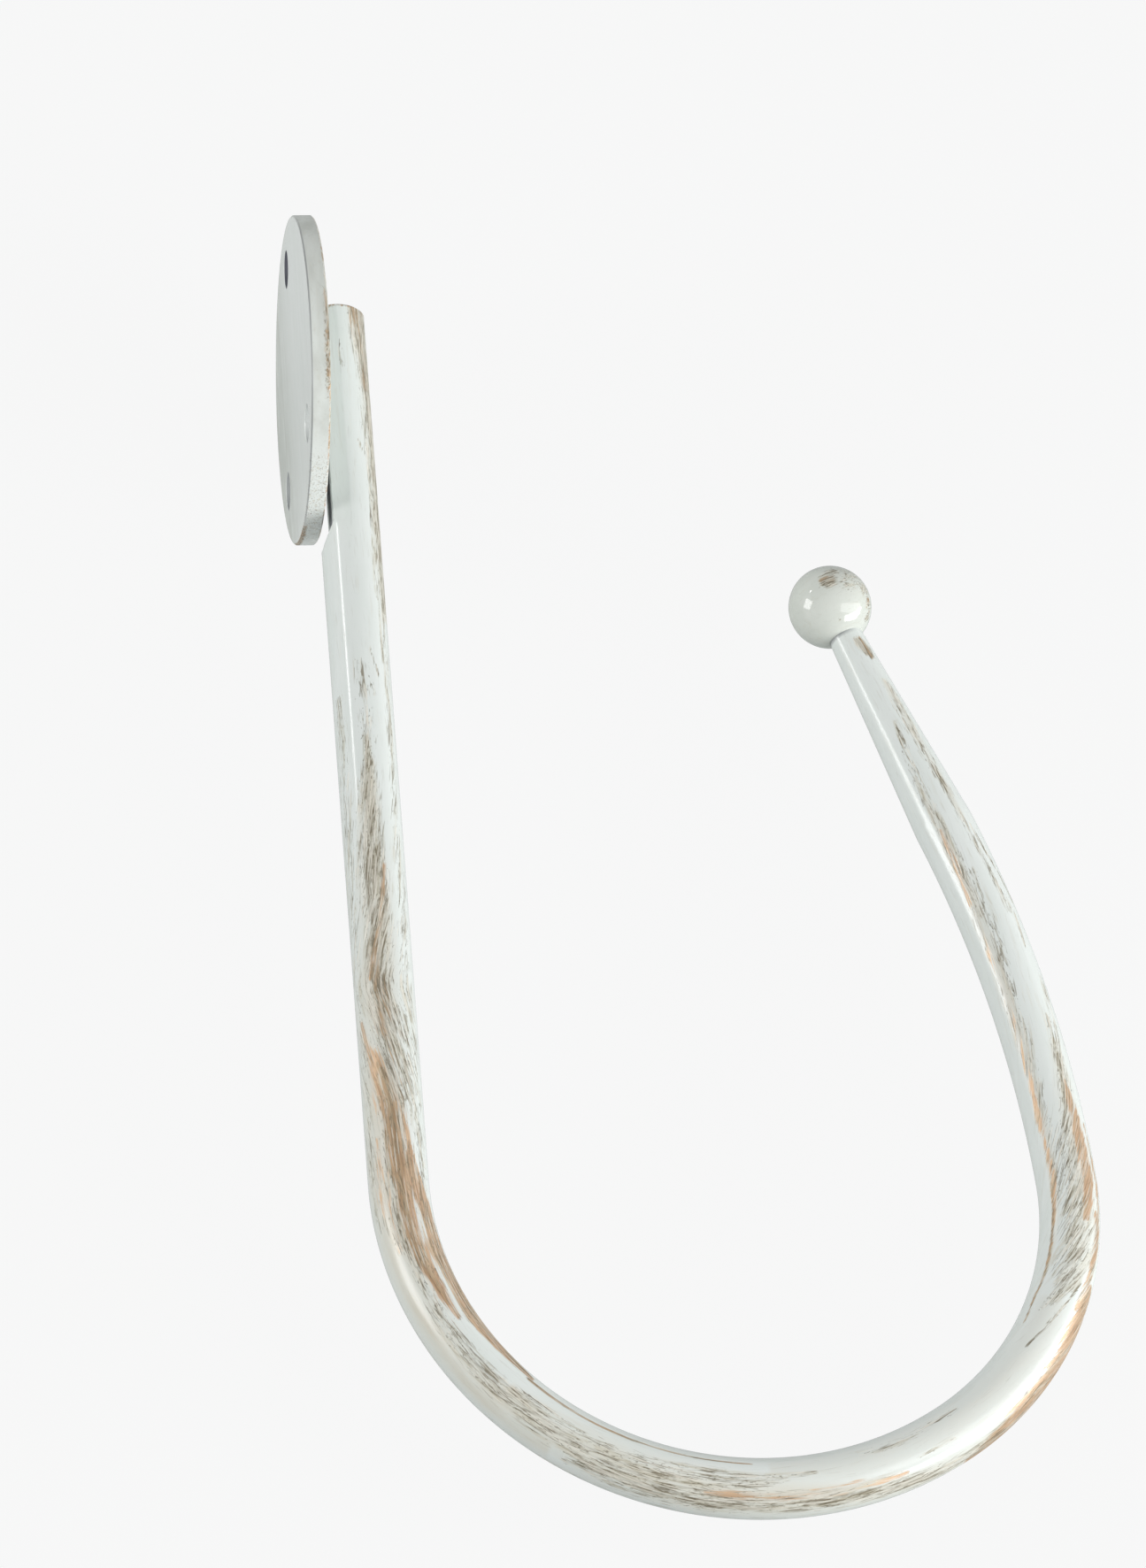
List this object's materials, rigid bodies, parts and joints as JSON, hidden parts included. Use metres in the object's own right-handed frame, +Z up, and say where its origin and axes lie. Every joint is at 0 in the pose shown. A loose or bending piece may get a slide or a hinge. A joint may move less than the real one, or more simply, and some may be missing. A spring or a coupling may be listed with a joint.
{
  "type": "curtain holdback",
  "caption": "Wall-mounted holdback: a round bar bent into a wide open hook with a tapered end and ball finial, on a round plate.",
  "frame": {"origin": "centre of the wall plate's back face, on the wall", "axes": "+X out from the wall, +Y along the shank towards its cut end, +Z up, square to the plane of the hook"},
  "size_m": [0.122, 0.239, 0.055],
  "materials": {
    "bar_paint": "off-white paint, brushed thin over bronze",
    "ball_paint": "off-white semi-gloss paint, chipped at the top",
    "plate_paint": "off-white semi-gloss paint, worn at the rim"
  },
  "bodies": {
    "root": {"bent_bar": "bar_paint", "ball_finial": "ball_paint", "wall_plate": "plate_paint"}
  },
  "joints": []
}
